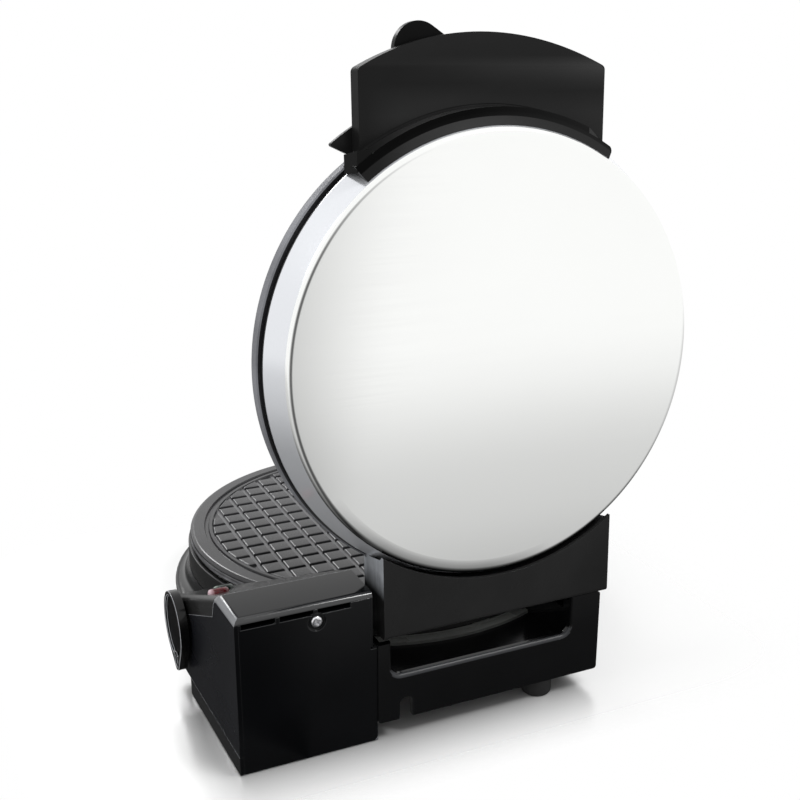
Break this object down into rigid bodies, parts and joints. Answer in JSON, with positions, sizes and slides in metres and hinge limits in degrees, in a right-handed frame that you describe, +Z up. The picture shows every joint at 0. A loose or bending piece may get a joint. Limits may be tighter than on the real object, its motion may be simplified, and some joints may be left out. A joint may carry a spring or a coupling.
{
  "type": "waffle cone maker",
  "caption": "Round waffle cone maker standing open, with a stainless lid on a rear hinge, grid plates, a swing latch on the handle and a side control box with a dial.",
  "frame": {"origin": "centre of the bounding box at table level", "axes": "+Z up, the front with the latch faces -Y, the control box is at +X towards the rear"},
  "size_m": [0.2364, 0.2485, 0.2975],
  "materials": {
    "satin_black": "satin moulded black plastic",
    "gloss_black": "glossy moulded black plastic",
    "stainless": "bright polished stainless sheet",
    "coated_plate": "cast plate with a dark non-stick coat",
    "dark_metal": "black baked enamel",
    "bright_sheet": "bright sheet",
    "heater_tube": "heat-darkened steel tube",
    "zinc": "bright zinc plate",
    "rubber_black": "matt moulded rubber",
    "red_lens": "clear red plastic",
    "clear_lens": "smoky clear plastic",
    "resin": "moulded heat-proof resin",
    "sleeve": "woven sleeve over wires"
  },
  "bodies": {
    "base": {"base_housing": "satin_black", "base_collar": "dark_metal", "bottom_cover": "dark_metal", "feet": "rubber_black", "tray_pads": "rubber_black", "bottom_screws": "zinc", "lower_grid_plate": "coated_plate", "lower_heater": "heater_tube", "lower_reflector": "bright_sheet", "plate_posts": "zinc", "control_housing": "gloss_black", "control_tray": "gloss_black", "control_rear_cover": "gloss_black", "rear_cover_screw": "zinc", "control_panel": "satin_black", "power_lens": "red_lens", "ready_lens": "clear_lens", "thermostat": "resin", "terminal_block": "resin", "hinge_tube": "zinc", "hinge_pin": "zinc", "lid_lead": "sleeve", "latch_keeper": "satin_black"},
    "lid": {"lid_cover": "stainless", "lid_ring": "dark_metal", "upper_grid_plate": "coated_plate", "upper_heater": "heater_tube", "upper_reflector": "bright_sheet", "rear_bracket": "satin_black", "handle_visor": "satin_black", "handle_apron": "satin_black", "handle_screws": "zinc", "latch_pivot": "zinc"},
    "latch": {"latch": "satin_black"},
    "dial": {"dial": "gloss_black"}
  },
  "joints": [
    {"name": "lid_hinge", "type": "hinge", "parent": "base", "child": "lid", "pos_m": [-0.00893, 0.10144, 0.0474], "axis": [1, 0, 0], "range_deg": [0, 88]},
    {"name": "latch_swing", "type": "hinge", "parent": "lid", "child": "latch", "pos_m": [-0.00893, 0.08902, 0.27701], "axis": [0, -0.9994, -0.0349], "range_deg": [0, 65]},
    {"name": "dial_turn", "type": "hinge", "parent": "base", "child": "dial", "pos_m": [0.11503, 0.04354, 0.0334], "axis": [1, 0, 0], "range_deg": [0, 270]}
  ]
}
